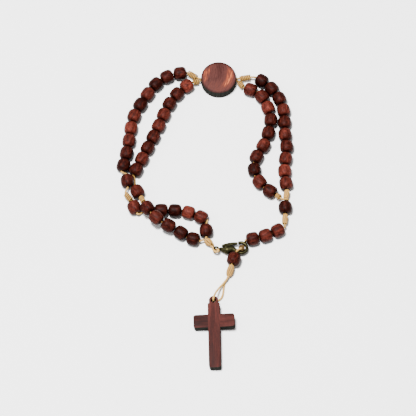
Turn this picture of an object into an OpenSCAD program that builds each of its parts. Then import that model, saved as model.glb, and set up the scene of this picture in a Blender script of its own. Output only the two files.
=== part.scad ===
// Rosary bracelet lying flat on a table: a closed double loop of wooden
// beads on cord, a wooden disc at the top, a lobster clasp that closes the
// loop at the bottom, and a wooden cross on a short pendant cord.
// Millimetres, +Z up. The origin is on the table, at the middle of the whole.

/* [Beads] */
// Diameter of a wooden bead at its belly
bead_d = 4.7; // [4.3:0.1:4.8]
// Length of a wooden bead along its hole
bead_l = 4.5; // [4.2:0.1:5]
// Radius of the barrel curve of a bead's side
bead_belly_r = 4.5; // [4:0.5:12]
// Diameter of the flat ring left at each end of a bead
bead_end_d = 2.6; // [2.4:0.1:3.6]
// Diameter of the hole through a bead
bead_bore_d = 1.15; // [1.1:0.05:1.4]
// Space between two beads of one run
bead_gap = 0.5; // [0.45:0.05:0.8]

/* [Cord] */
// Diameter of the twisted cord that the beads are strung on
cord_d = 0.8; // [0.5:0.05:0.85]
// Diameter of a whipping wound round one cord
wrap_d = 1.9; // [1.7:0.1:2]
// Diameter of a whipping that holds two cords
wide_wrap_d = 2.3; // [2.2:0.1:2.6]
// Width of one turn of a whipping
wrap_turn = 0.55; // [0.45:0.05:0.8]
// Diameter of the knot held in the clasp
knot_d = 2.3; // [2:0.05:2.35]

/* [Disc] */
// Diameter of the wooden disc
disc_d = 12.9; // [12:0.1:13.6]
// Thickness of the wooden disc
disc_t = 4; // [3.4:0.1:4.4]
// Size of the slope cut round each edge of the disc
disc_edge = 0.25; // [0.1:0.05:0.5]

/* [Cross] */
// Width of the cross over its arms
cross_w = 14.7; // [13:0.1:16]
// Height of the cross below the middle of its hole
cross_drop = 25.5; // [22:0.1:28]
// Width of the upright
upright_w = 4.3; // [4:0.1:5]
// Height of the two arms
arm_h = 4.9; // [4:0.1:5.4]
// Distance from the middle of the hole down to the middle of the arms
arm_drop = 7.8; // [6.5:0.1:9]
// Thickness of the cross
cross_t = 3.1; // [2.6:0.1:3.4]
// Radius of the cross's corners
cross_corner = 0.6; // [0.3:0.1:1]
// Diameter of the round head that holds the cord's hole
head_d = 3.3; // [3.1:0.1:4]
// Diameter of the hole for the cord
cross_bore_d = 1.9; // [1.7:0.1:2.1]

/* [Clasp] */
// Diameter of the wire that the hook is cast as
hook_wire_d = 1.05; // [0.9:0.05:1.15]
// Diameter of the hook measured to the middle of its wire
hook_d = 4.1; // [4:0.05:4.3]
// Distance from the eye to the middle of the hook
clasp_l = 9.05; // [8.7:0.05:9.4]
// Diameter of the eye measured to the middle of its wire
eye_d = 2; // [1.9:0.05:2.2]
// Diameter of the eye's wire
eye_wire_d = 0.64; // [0.5:0.02:0.7]
// Thickness of the lever
lever_t = 1.1; // [0.9:0.05:1.2]
// Space between the lever and each cheek beside it
lever_gap = 0.14; // [0.1:0.02:0.2]
// Diameter of the pin that the lever turns on
pin_d = 0.8; // [0.6:0.05:0.9]
// Space all round the pin in the lever's hole
pin_fit = 0.04; // [0.02:0.01:0.08]

/* [Hidden] */
$fn = 40;

// The layout was laid out for beads that sit 5 mm apart, and spreads with them
layout_pitch = 5;
layout_bead_d = 4.7;
spread = max((bead_l + bead_gap) / layout_pitch, bead_d / layout_bead_d);
lie_z = bead_d / 2;
cord_r = cord_d / 2;
// Cord left straight outside a bead's hole, between beads and at a run's ends
mouth = bead_l / 2 + 0.1;
end_mouth = bead_l / 2 + 0.25;
// Distance from the middle of a pair of cords to each of them
pair = cord_r + 0.03;
// Space round a cord where it runs in a whipping
wrap_fit = 0.1;
slack = 0.05;

// Routes chosen by hand: [across, along, height above the lying height]
left_outer_run = [[-9.2, 56.8, 0], [-14.1, 55.5, 0], [-18.3, 52.2, 0], [-21.1, 48, 0],
                  [-26.2, 39, 0], [-27.8, 28.2, 0], [-29.7, 18.9, 0]];
left_inner_run = [[-6.8, 51.5, 0], [-10.3, 48.3, 0], [-13.5, 43.5, 0],
                  [-17.1, 34.7, 0], [-21.1, 25.7, 0], [-25.1, 17.2, 0]];
lower_upper_run = [[-15.8, 1, 0], [-11, 0.9, 0], [-6.3, 0.4, 0], [-1.4, -1.7, 0]];
lower_lower_run = [[-20.8, 1.1, 2.05], [-17.2, -3.7, 2.7], [-13.1, -5.4, 1.1], [-8.65, -8, 0.05]];
right_outer_run = [[20.9, 53.7, 0], [24.5, 50.6, 0], [27.8, 45.6, 0], [29.2, 39, 0],
                   [29, 31.3, 0], [30.3, 26.6, 0], [29.2, 21.8, 0], [28.9, 16.6, 0],
                   [29.4, 11.7, 0]];
right_inner_run = [[16.7, 50, 0], [21.9, 46.7, 0], [22.4, 42.4, 0], [24.4, 38.9, 0],
                   [22.9, 31.2, 0], [21.4, 26.5, 0], [18.5, 22.8, 0], [17.7, 16.8, 0],
                   [19.8, 12.1, 0], [23.6, 8.6, 0]];
right_end_run = [[26.3, -7, 0], [21.8, -9.1, 0], [17.15, -10.35, 0]];
// Lone beads: a point at each end, in the same columns
left_spacer_a = [[-28.4, 15.1, 0], [-28, 10.5, 0]];
left_spacer_b = [[-25.6, 10.4, -0.3], [-23.4, 6.4, 0.5]];
lower_first = [[-26.5, 4.35, 0], [-24.7, 0.15, 0]];
lower_upper_last = [[0.3, -4.9, 0], [0.5, -9.4, 0]];
lower_lower_last = [[-6.4, -9.7, 0], [-2.05, -11, 0]];
right_spacer = [[29.05, 4.4, 0], [29.05, -0.2, 0]];
pendant_seat = [[11.05, -16.45, 0.25], [9.7, -20.7, 0.85]];
// Bare stretches of cord, with the true height of the cord's middle
under_spacer = [[-25.8, 14.6, 1.7], [-25.6, 14, 1.05], [-25.55, 13.2, 0.65],
                [-25.5, 12.4, 0.65], [-25.55, 11.7, 1.05]];
bend_left = [[-28.85, 7.9, 2.35]];
under_crossing = [[-24.1, -0.2, 1.7], [-23.1, 0.5, 0.95], [-22.1, 1.3, 0.6],
                  [-20.4, 1.7, 0.6], [-19, 1.2, 1.3]];
bend_right_top = [[17, 55.2, 2.35]];
bend_right_end = [[28.7, -4.6, 2.35], [28.8, -5.5, 2.35]];
// Measured from the eye's middle across the table
eye_loop = [[-1.25, 0.6, 2.75], [-1.15, -0.2, 2.8], [-0.7, -0.85, 2.8],
            [-0.05, -1.15, 2.8], [0.55, -1.05, 2.85], [0.85, -0.7, 2.85],
            [0.7, -0.35, 2.85], [0.3, -0.15, 2.55], [0.1, -0.05, 2.1],
            [0, 0.05, 1.75], [-0.3, 0.4, 1.2], [-0.75, 1.1, 1.15],
            [-1.05, 1.7, 1.45]];
wrap_clasp_end = [-1.5, 1.9, 2.1];
// Measured from the hook's middle
under_hook = [[1.5, 2.75, 1.6], [1.4, 2.3, 1], [1.15, 1.6, 0.95]];
over_hook = [[-1.15, -1.45, 3.55], [-1.75, -2.15, 3.4]];
knot_ends = [[0.2, 0.35, 1.2], [-0.05, -0.75, 3.2]];
// Measured across the table as laid out
pendant_front = [[7.85, -25.8, 1.55], [7.1, -26.85, 1.4], [6.1, -28.1, 1.4]];
// Heights here are above the cross's face at its hole
over_cross = [[4.9, -30, -1.83], [4, -32, -0.13], [3.3, -33.9, 0.87],
              [3, -34.7, 0.77], [3, -35.1, -0.03]];
pendant_back = [[3, -35.1, 1.3], [3.2, -34.8, 0.55], [4.4, -34, 0.45], [5.7, -33, 0.45],
                [6.3, -31.8, 0.45], [6.55, -30.4, 0.45], [6.75, -28.6, 0.45],
                [7.1, -26.9, 0.45], [7.8, -25.6, 0.65]];
// Ends of the whippings that lie on no straight run between two beads
wrap_clasp_start = [-0.05, -10.3, 2.1];
wrap_pendant_end = [8.35, -24.85, 1.9];

// Where the larger pieces lie
disc_at = [5, 54.2, 0];
cross_at = [3.3, -35.05, 0];
cross_turn = 1;
cross_roll = 5;
cross_pitch = 2;
hook_side_at = [15.62, -13.7, 2];
clasp_turn = 4.6;

// Clasp, measured from the middle of its eye
hook_from = -125;
hook_to = 120;
hook_r = hook_d / 2;
hook_mid = [clasp_l, 0, 0];
hook_start = hook_mid + hook_r * [cos(hook_from + 8), sin(hook_from + 8), 0];
hook_end = hook_mid + hook_r * [cos(hook_to), sin(hook_to), 0];
pivot = [0.39 * clasp_l, 0.35, 0];
tip_gap = 0.12;
tip_reach = norm(hook_end - pivot) - tip_gap;
pin_seat = 0.02;
slot_t = lever_t + 2 * lever_gap;
cheek_r = 1.35;
cheek_w = 1.6;

// Small helpers
function unit(v) = v / norm(v);
function joined(lists) = [for (l = lists) each l];
function backwards(list) = [for (i = [len(list) - 1 : -1 : 0]) list[i]];
function laid(p) = spread * p + [0, 0, lie_z];
function moved(p) = [p.x * spread, p.y * spread, p.z];
function route(run) = [for (p = run) laid(p)];
function bare(points) = [for (p = points) moved(p)];

// The hook's side stays beside the last bead; its eye and the cords there go with it
layout_hook_r = 2.575;
hook_outer_r = hook_r + hook_wire_d / 2;
hook_size = hook_outer_r / layout_hook_r;
hook_at = moved(hook_side_at) - [hook_outer_r, 0, 0];
clasp_at = hook_at - clasp_l * [cos(clasp_turn), sin(clasp_turn), 0];
function from_eye(p) = [clasp_at.x + p.x, clasp_at.y + p.y, p.z];
function from_hook(p) = [hook_at.x + hook_size * p.x, hook_at.y + hook_size * p.y, p.z];

// A smooth curve through a run's points, in short straight steps
steps = 8;
function before(p) = len(p) > 2 ? 3 * p[0] - 3 * p[1] + p[2] : 2 * p[0] - p[1];
function eased(a, b, c, d, t) =
    0.5 * (2 * b + (c - a) * t + (2 * a - 5 * b + 4 * c - d) * t * t
           + (3 * b - a - 3 * c + d) * t * t * t);
function smooth(p) =
    let (q = concat([before(p)], p, [before(backwards(p))]))
    [for (i = [1 : len(p) - 1]) for (k = [0 : steps - 1])
        eased(q[i - 1], q[i], q[i + 1], q[i + 2], k / steps), p[len(p) - 1]];
function run_length(p, i = 1) =
    i >= len(p) ? 0 : norm(p[i] - p[i - 1]) + run_length(p, i + 1);
function along(p, s, i = 1) =
    let (step = norm(p[i] - p[i - 1]))
    (s <= step || i == len(p) - 1)
        ? p[i - 1] + (p[i] - p[i - 1]) * s / step
        : along(p, s - step, i + 1);

// A seat is [middle, direction of the hole] of one bead
function seat_between(ends) =
    let (p = route(ends)) [(p[0] + p[1]) / 2, unit(p[1] - p[0])];
function seats(run, count) =
    let (p = smooth(route(run)), total = run_length(p), half = bead_l / 2)
    [for (i = [0 : count - 1])
        let (s = total * i / (count - 1), a = along(p, s - half), b = along(p, s + half))
        [(a + b) / 2, unit(b - a)]];
function strung(list) =
    [for (i = [0 : len(list) - 1])
        each [list[i][0] - list[i][1] * (i == 0 ? end_mouth : mouth),
              list[i][0] + list[i][1] * (i == len(list) - 1 ? end_mouth : mouth)]];

left_outer_seats = seats(left_outer_run, 10);
left_inner_seats = seats(left_inner_run, 9);
left_spacer_seats = [seat_between(left_spacer_a), seat_between(left_spacer_b)];
lower_upper_seats = joined([[seat_between(lower_first)], seats(lower_upper_run, 4),
                            [seat_between(lower_upper_last)]]);
lower_lower_seats = concat(seats(lower_lower_run, 4), [seat_between(lower_lower_last)]);
right_outer_seats = seats(right_outer_run, 10);
right_inner_seats = seats(right_inner_run, 10);
right_spacer_seats = [seat_between(right_spacer)];
right_end_seats = seats(right_end_run, 3);
pendant_seats = [seat_between(pendant_seat)];

cross_lift = cross_drop * sin(cross_pitch) + upright_w / 2 * sin(cross_roll) + slack;
cross_face = [0, 0, cross_lift + cross_t];

// Cords in the disc's hole, and just outside its edge
disc_mid = moved(disc_at) + [0, 0, disc_t / 2];
disc_out = disc_d / 2 + 0.3;
function disc_mouth(side, row) = disc_mid + [side * disc_out, row * pair, 0];
disc_bore_d = 2 * (pair + cord_r + wrap_fit);

// A point that lies a given way along a straight stretch
function part_way(p, q, s) = p + unit(q - p) * s;
// Length left bare at the ends of a whipping, beside a bead and at a bend
wrap_set_back = 0.15;
wrap_trim = 0.25;
pair_bore_d = 2 * (pair + cord_r + slack);
// The two cords of a whipping, each side of its middle line
function flat_side(p, q) = unit([q.y - p.y, p.x - q.x, 0]);
wrap_clasp_line = [moved(wrap_clasp_start), from_eye(wrap_clasp_end)];
clasp_side = flat_side(wrap_clasp_line[0], wrap_clasp_line[1]) * pair;
pendant_line = [strung(pendant_seats)[1], moved(wrap_pendant_end)];
pendant_side = [0, 0, pair];
knot_line = [for (p = knot_ends) from_hook(p)];
knot_mid = (knot_line[0] + knot_line[1]) / 2;

outer_left_path = joined([
    [disc_mouth(-1, 1)], strung(left_outer_seats), strung([left_spacer_seats[0]]),
    bare(bend_left), strung([lower_upper_seats[0]]), bare(under_crossing),
    strung([for (i = [1 : 4]) lower_upper_seats[i]]), strung([lower_upper_seats[5]]),
    [wrap_clasp_line[0] - clasp_side, wrap_clasp_line[1] - clasp_side],
    backwards([for (p = eye_loop) from_eye(p)]),
    [wrap_clasp_line[1] + clasp_side, (wrap_clasp_line[0] + wrap_clasp_line[1]) / 2 + clasp_side]]);
outer_right_path = joined([
    [disc_mouth(1, 1)], bare(bend_right_top), strung(right_outer_seats),
    strung(right_spacer_seats), bare(bend_right_end), strung(right_end_seats),
    [for (p = under_hook) from_hook(p)], [knot_line[0], knot_mid - unit(knot_line[1] - knot_line[0]) * slack]]);
outer_path = concat(backwards(outer_left_path), outer_right_path);

// The inner cord ends in a hitch round the outer cord
hitch_mid = strung(right_spacer_seats)[0] + [0, cord_r + slack, 0];
hitch_r = cord_d + 2 * slack + 0.05;
hitch = [for (a = [130 : -40 : -110]) hitch_mid + hitch_r * [cos(a), 0, sin(a)]];
inner_right_end = strung(right_inner_seats)[19];
inner_path = joined([
    [(wrap_clasp_line[0] * 3 + wrap_clasp_line[1]) / 4 + clasp_side,
     wrap_clasp_line[0] + clasp_side],
    backwards(joined([[disc_mouth(-1, -1)], strung(left_inner_seats), bare(under_spacer),
                      strung([left_spacer_seats[1]]), strung(lower_lower_seats)])),
    [disc_mouth(1, -1)], strung(right_inner_seats), hitch]);

pendant_path = joined([
    [knot_mid + unit(knot_line[1] - knot_line[0]) * slack, knot_line[1]],
    [for (p = over_hook) from_hook(p)], strung(pendant_seats), [pendant_line[1]], bare(pendant_front),
    [for (p = over_cross) moved(p) + cross_face], bare(pendant_back),
    [pendant_line[1] - 2 * pendant_side,
     part_way(pendant_line[1], pendant_line[0], 1.2) - 2 * pendant_side]]);

// Puts a piece made along +Z at a bead's seat
module placed(seat) {
    d = seat[1];
    translate(seat[0]) rotate([0, acos(d.z), atan2(d.y, d.x)]) children();
}

// One drilled barrel bead with rounded shoulders
module bead() {
    rotate_extrude()
        intersection() {
            translate([bead_d / 2 - bead_belly_r, 0]) circle(bead_belly_r, $fn = 96);
            circle(norm([bead_l / 2, bead_end_d / 2]), $fn = 64);
            translate([bead_bore_d / 2, -bead_l / 2]) square([bead_d, bead_l]);
        }
}

module beads(list) {
    color("#6b2a20") for (s = list) placed(s) bead();
}

// A cord swept along its path, with eight sides
sides = 8;
function carry(u, from, to) =
    let (axis = cross(from, to), c = from * to)
    u * c + cross(axis, u) + axis * (axis * u) / (1 + c);
function across(d) = unit(cross(d, abs(d.z) < 0.9 ? [0, 0, 1] : [0, 1, 0]));
function carried(dirs, i) =
    i == 0 ? across(dirs[0]) : carry(carried(dirs, i - 1), dirs[i - 1], dirs[i]);
module cord(path) {
    n = len(path);
    legs = [for (i = [1 : n - 1]) unit(path[i] - path[i - 1])];
    dirs = [for (i = [0 : n - 1])
        i == 0 ? legs[0] : i == n - 1 ? legs[n - 2] : unit(legs[i - 1] + legs[i])];
    rings = [for (i = [0 : n - 1])
        let (u = carried(dirs, i), v = cross(dirs[i], u))
        for (k = [0 : sides - 1])
            path[i] + cord_r * (cos(k * 360 / sides) * u + sin(k * 360 / sides) * v)];
    walls = [for (i = [0 : n - 2]) for (k = [0 : sides - 1])
        let (a = i * sides + k, b = i * sides + (k + 1) % sides)
        each [[a, a + sides, b], [b, a + sides, b + sides]]];
    ends = [[for (k = [0 : sides - 1]) k],
            [for (k = [sides - 1 : -1 : 0]) (n - 1) * sides + k]];
    color("#dcc095") polyhedron(points = rings, faces = concat(walls, ends));
}

// A whipping of close turns from one point to another, finer by narrow at both ends
module wrap(p, q, d, bore_d, narrow = 0.08) {
    long = norm(q - p);
    turns = max(2, round(long / wrap_turn));
    step = long / turns;
    turn_r = step * 0.58;
    mids = [for (i = [0 : turns - 1])
        [d / 2 - turn_r - narrow * pow(2 * i / (turns - 1) - 1, 4), (i + 0.5) * step]];
    color("#dcc095") placed([p, unit(q - p)])
        rotate_extrude()
            intersection() {
                union() {
                    for (m = mids) translate(m) circle(turn_r, $fn = 20);
                    polygon(concat([[0, step / 4]], mids, [[0, long - step / 4]]));
                }
                translate([bore_d / 2, 0]) square([d, long]);
            }
}
// A whipping on the straight cord between two points, cut back at each end
module wrap_on(p, q, from_p, from_q) {
    wrap(part_way(p, q, from_p), part_way(q, p, from_q), wrap_d, cord_d + 2 * wrap_fit);
}

// Round-edged wooden disc, drilled across for the two cords
module centre_disc() {
    color("#8c4a3c")
        difference() {
            translate(moved(disc_at)) {
                cylinder(h = disc_edge, d1 = disc_d - 2 * disc_edge, d2 = disc_d);
                translate([0, 0, disc_edge]) cylinder(h = disc_t - 2 * disc_edge, d = disc_d);
                translate([0, 0, disc_t - disc_edge])
                    cylinder(h = disc_edge, d1 = disc_d, d2 = disc_d - 2 * disc_edge);
            }
            translate(disc_mid) rotate([0, 90, 0])
                cylinder(h = 2 * disc_d, d = disc_bore_d, center = true);
        }
}

// A bar with round corners, given by its middle and its size
module round_bar(mid, size) {
    r = cross_corner;
    translate(mid) {
        square([size.x, size.y - 2 * r], center = true);
        square([size.x - 2 * r, size.y], center = true);
        for (sx = [-1, 1]) for (sy = [-1, 1])
            translate([sx * (size.x / 2 - r), sy * (size.y / 2 - r)]) circle(r, $fn = 24);
    }
}
// The upright starts a little below the hole's middle, as shoulders to the head
shoulder = -0.8;
module wooden_cross() {
    upright = cross_drop + shoulder;
    color("#7a3f35")
        translate(moved(cross_at) + [0, 0, cross_lift])
        rotate([cross_pitch, -cross_roll, cross_turn])
        linear_extrude(cross_t)
            difference() {
                union() {
                    circle(d = head_d);
                    translate([0, shoulder]) square([head_d, -2 * shoulder], center = true);
                    round_bar([0, shoulder - upright / 2], [upright_w, upright]);
                    round_bar([0, -arm_drop], [cross_w, arm_h]);
                }
                circle(d = cross_bore_d);
            }
}

// Moves a piece of the clasp from the clasp's own frame to its place
module at_clasp() {
    translate(clasp_at) rotate([0, 0, clasp_turn]) children();
}

// Cast body: eye, neck, hollow cheeks and the hook that ends at the gate
module clasp_body() {
    color("#5f5836")
        at_clasp() difference() {
            union() {
                rotate_extrude() translate([eye_d / 2, 0]) circle(d = eye_wire_d, $fn = 16);
                translate(hook_mid) rotate([0, 0, hook_from])
                    rotate_extrude(angle = hook_to - hook_from)
                        translate([hook_r, 0]) circle(d = hook_wire_d, $fn = 16);
                hull() {
                    translate([eye_d / 2 + 0.95, 0.1, 0]) sphere(0.7, $fn = 20);
                    translate([pivot.x + 0.5, -0.35, 0])
                        scale([1, 1, cheek_r / cheek_w]) sphere(cheek_w, $fn = 32);
                    translate([hook_mid.x - hook_r - 1.2, -0.2, 0]) sphere(1.2, $fn = 24);
                }
                hull() {
                    translate([hook_mid.x - hook_r - 1.2, -0.2, 0]) sphere(1.2, $fn = 24);
                    translate(hook_start) sphere(hook_wire_d / 2 + 0.08, $fn = 24);
                }
                translate([eye_d / 2 + eye_wire_d / 4, 0, 0]) rotate([0, 90, 0])
                    cylinder(h = cheek_r - 0.35, r = eye_wire_d / 2 - 0.02);
            }
            // Slot that the lever's root and arm turn in
            translate([0, 0, -slot_t / 2]) linear_extrude(slot_t) {
                translate(pivot) circle(1.15);
                polygon([[pivot.x, -0.8], [hook_start.x, -1.05], [hook_start.x, 3],
                         [pivot.x - 1.6, 3], [pivot.x - 1.6, pivot.y]]);
            }
            // Gate: clears the lever's tip all the way round
            translate([pivot.x, pivot.y, -hook_wire_d]) intersection() {
                cylinder(h = 2 * hook_wire_d, r = tip_reach + tip_gap);
                translate([0, 0.2, 0]) cube([clasp_l, clasp_l, 2 * hook_wire_d]);
            }
            translate([pivot.x, pivot.y, -2 * cheek_r])
                cylinder(h = 4 * cheek_r, r = pin_d / 2 + pin_seat);
            // Notch in both cheeks under the lever's thumb end
            translate([pivot.x - 1.25, pivot.y + 0.35, -2 * cheek_r])
                cylinder(h = 4 * cheek_r, r = 0.32);
        }
}

// Lever: a round root on the pin, a thumb nub and a tapered arm
module clasp_lever() {
    color("#6b6440")
        at_clasp() translate(pivot - [0, 0, lever_t / 2]) difference() {
            union() {
                cylinder(h = lever_t, r = 1);
                linear_extrude(lever_t) intersection() {
                    polygon([[-0.75, 0.6], [-1.45, 0.75], [-1.3, 1.2], [-0.4, 1.5],
                             [0.9, 1.74], [2.7, 1.87], [tip_reach + 0.15, 1.72],
                             [tip_reach + 0.15, 1.4], [tip_reach - 0.25, 1.1],
                             [0.6 * tip_reach, 0.98],
                             [1.2, 0.45], [0.95, -0.3], [-0.1, -0.7], [-0.75, -0.25]]);
                    circle(tip_reach, $fn = 96);
                }
            }
            translate([0, 0, -lever_t]) cylinder(h = 3 * lever_t, r = pin_d / 2 + pin_fit);
        }
}

module clasp_pin() {
    color("#8a8258")
        at_clasp() translate([pivot.x, pivot.y, -cheek_r + 0.1])
            cylinder(h = 2 * cheek_r - 0.2, r = pin_d / 2);
}

module left_outer_beads() { beads(left_outer_seats); }
module left_inner_beads() { beads(left_inner_seats); }
module left_spacer_beads() { beads(left_spacer_seats); }
module lower_upper_beads() { beads(lower_upper_seats); }
module lower_lower_beads() { beads(lower_lower_seats); }
module right_outer_beads() { beads(right_outer_seats); }
module right_inner_beads() { beads(right_inner_seats); }
module right_spacer_bead() { beads(right_spacer_seats); }
module right_end_beads() { beads(right_end_seats); }
module pendant_bead() { beads(pendant_seats); }

module outer_cord() { cord(outer_path); }
module inner_cord() { cord(inner_path); }
module pendant_cord() { cord(pendant_path); }

module wrap_disc_left_outer() {
    wrap_on(disc_mouth(-1, 1), strung(left_outer_seats)[0], 1.2, 2 * wrap_set_back);
}
module wrap_disc_left_inner() {
    wrap_on(disc_mouth(-1, -1), strung(left_inner_seats)[0], 0.4, wrap_set_back);
}
module wrap_disc_right_outer() {
    wrap_on(disc_mouth(1, 1), moved(bend_right_top[0]), 0.9, 0.1);
}
module wrap_disc_right_inner() {
    wrap_on(disc_mouth(1, -1), strung(right_inner_seats)[0], 0.7, 2 * wrap_set_back);
}
module wrap_left_outer() {
    wrap_on(moved(bend_left[0]), strung([lower_upper_seats[0]])[0], 0.2, wrap_set_back);
}
module wrap_left_inner() {
    wrap_on(strung(left_spacer_seats)[3], strung(lower_lower_seats)[0],
            wrap_set_back, wrap_set_back);
}
module wrap_clasp() {
    wrap(part_way(wrap_clasp_line[0], wrap_clasp_line[1], 1.8 * wrap_trim),
         part_way(wrap_clasp_line[1], wrap_clasp_line[0], wrap_trim),
         wide_wrap_d, pair_bore_d);
}
module wrap_right_outer() {
    wrap_on(strung(right_outer_seats)[19], strung(right_spacer_seats)[0],
            wrap_set_back, 1.05);
}
module wrap_right_inner() {
    wrap_on(inner_right_end, hitch[0], wrap_set_back, 1.3);
}
module wrap_right_end() {
    wrap_on(strung(right_spacer_seats)[1], moved(bend_right_end[0]), wrap_set_back, 0.2);
}
module wrap_pendant() {
    wrap(part_way(pendant_line[0], pendant_line[1], 1.5 * wrap_trim) - pendant_side,
         part_way(pendant_line[1], pendant_line[0], wrap_trim) - pendant_side,
         wide_wrap_d, pair_bore_d);
}
module knot_in_clasp() {
    wrap(part_way(knot_line[0], knot_line[1], wrap_trim),
         part_way(knot_line[1], knot_line[0], wrap_trim),
         knot_d, cord_d + 2 * wrap_fit, 0.3);
}

centre_disc();
wooden_cross();
clasp_body();
clasp_lever();
clasp_pin();
left_outer_beads();
left_inner_beads();
left_spacer_beads();
lower_upper_beads();
lower_lower_beads();
right_outer_beads();
right_inner_beads();
right_spacer_bead();
right_end_beads();
pendant_bead();
outer_cord();
inner_cord();
pendant_cord();
wrap_disc_left_outer();
wrap_disc_left_inner();
wrap_disc_right_outer();
wrap_disc_right_inner();
wrap_left_outer();
wrap_left_inner();
wrap_clasp();
wrap_right_outer();
wrap_right_inner();
wrap_right_end();
wrap_pendant();
knot_in_clasp();
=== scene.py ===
import math
import bpy
import bmesh
from mathutils import Matrix, Vector


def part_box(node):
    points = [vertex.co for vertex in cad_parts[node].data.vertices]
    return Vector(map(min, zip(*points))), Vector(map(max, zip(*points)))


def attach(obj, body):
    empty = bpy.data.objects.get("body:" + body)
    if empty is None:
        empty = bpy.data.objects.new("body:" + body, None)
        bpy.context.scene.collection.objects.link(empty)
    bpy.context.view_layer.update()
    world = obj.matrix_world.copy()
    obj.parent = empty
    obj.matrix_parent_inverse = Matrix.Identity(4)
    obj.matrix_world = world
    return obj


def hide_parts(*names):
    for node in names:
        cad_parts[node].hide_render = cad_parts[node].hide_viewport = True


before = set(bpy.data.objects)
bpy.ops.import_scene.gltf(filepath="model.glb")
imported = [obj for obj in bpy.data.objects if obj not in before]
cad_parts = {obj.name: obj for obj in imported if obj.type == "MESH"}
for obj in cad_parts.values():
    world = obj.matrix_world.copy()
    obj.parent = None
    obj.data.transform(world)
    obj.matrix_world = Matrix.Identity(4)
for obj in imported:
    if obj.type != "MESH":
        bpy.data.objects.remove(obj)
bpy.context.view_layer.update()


# Table, light and camera

# The bracelet lies on a plain white table under soft studio light that comes from above
# and a little from the left. The camera looks down at it from 65 degrees, with a long lens.

mm = 0.001


def new_object(name, mesh, material=None):
    piece = bpy.data.objects.new(name, mesh)
    bpy.context.scene.collection.objects.link(piece)
    if material:
        mesh.materials.append(material)
    return piece


def from_bmesh(name, bm, material=None):
    mesh = bpy.data.meshes.new(name)
    bm.to_mesh(mesh)
    bm.free()
    mesh.polygons.foreach_set("use_smooth", [True] * len(mesh.polygons))
    return new_object(name, mesh, material)


table_white = bpy.data.materials.new("white_table")
table_white.use_nodes = True
table_paint = table_white.node_tree.nodes["Principled BSDF"]
table_paint.inputs["Base Color"].default_value = (0.93, 0.93, 0.93, 1)
table_paint.inputs["Roughness"].default_value = 0.9
table = bmesh.new()
bmesh.ops.create_grid(table, x_segments=1, y_segments=1, size=1.5)
table = from_bmesh("table", table, table_white)


def area_light(name, place, width, power):
    """A round soft box that looks at the middle of the bracelet."""
    lamp = bpy.data.lights.new(name, "AREA")
    lamp.shape = "DISK"
    lamp.size = width
    lamp.energy = power
    holder = bpy.data.objects.new(name, lamp)
    holder.location = place
    holder.rotation_euler = (-Vector(place)).to_track_quat("-Z", "Y").to_euler()
    bpy.context.scene.collection.objects.link(holder)


area_light("key_light", place=(-0.16, -0.02, 1.0), width=0.2, power=43)
area_light("side_light", place=(-0.7, -0.1, 0.7), width=0.6, power=3)
world = bpy.data.worlds.new("studio")
world.use_nodes = True
world.node_tree.nodes["Background"].inputs["Color"].default_value = (1, 1, 1, 1)
world.node_tree.nodes["Background"].inputs["Strength"].default_value = 0.4
bpy.context.scene.world = world

photo_width_px = 416
pixels_per_mm = 2.76
# The middle of the photo lies this far right of the part's zero point, and above it
middle_right_px = 3
middle_up_px = 7.6
camera_reach = 1.2
camera_tilt = math.radians(65)
onwards = Vector((0, math.cos(camera_tilt), -math.sin(camera_tilt)))
right = Vector((1, 0, 0))
rise = Vector((0, math.sin(camera_tilt), math.cos(camera_tilt)))
camera_data = bpy.data.cameras.new("camera")
camera_data.sensor_width = 36
camera_data.lens = camera_data.sensor_width * pixels_per_mm * camera_reach / mm / photo_width_px
camera_data.clip_end = 10
camera = bpy.data.objects.new("camera", camera_data)
camera.location = -onwards * camera_reach \
    + (right * middle_right_px + rise * middle_up_px) / pixels_per_mm * mm
camera.rotation_euler = onwards.to_track_quat("-Z", "Y").to_euler()
bpy.context.scene.collection.objects.link(camera)
bpy.context.scene.camera = camera


# Wooden beads

# Fifty-seven barrels turned from dark red wood, drilled along the grain and waxed. All
# have one shape, but their colours run from nearly black to orange red. They sit where
# the strings of beads lie, each turned its own way round the cord.

bead_half = 2.3 * mm
bead_belly = 2.46 * mm
bead_bore_r = 0.575 * mm
# An ellipse would have 1 here: the less, the squarer the barrel's shoulders
bead_shoulder = 0.62
# Each half of a bead is made this much longer or shorter at most, so that it ends this
# gap short of its share of the room before the next bead. A string's ends have this room.
most_grown, most_cut = 0.22 * mm, 0.15 * mm
bead_gap, end_room = 0.04 * mm, 0.06 * mm


def bead_profile():
    """Radius and height along a bead's side, from inside its lower mouth to its upper one."""
    side = []
    for turn in (0, 8, 16, 24, 32, 40, 47, 54, 61, 68, 75, 81):
        turn = math.radians(turn)
        side.append((bead_belly * math.cos(turn) ** bead_shoulder,
                     bead_half * math.sin(turn) ** bead_shoulder))
    hole_rim = [(0.76 * mm, bead_half), (0.66 * mm, bead_half - 0.03 * mm),
                (0.6 * mm, bead_half - 0.12 * mm), (bead_bore_r, bead_half - 0.3 * mm)]
    upper = side + hole_rim
    return [(r, -z) for r, z in reversed(upper)] + upper[1:]


def bead_shape():
    shape = bmesh.new()
    rim = [shape.verts.new((r, 0, z)) for r, z in bead_profile()]
    edges = [shape.edges.new(ends) for ends in zip(rim, rim[1:] + rim[:1])]
    bmesh.ops.spin(shape, geom=rim + edges, cent=(0, 0, 0), axis=(0, 0, 1), dvec=(0, 0, 0),
                   angle=2 * math.pi, steps=36, use_merge=True)
    bmesh.ops.remove_doubles(shape, verts=shape.verts, dist=1e-7)
    bmesh.ops.recalc_face_normals(shape, faces=shape.faces)
    return shape


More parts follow.
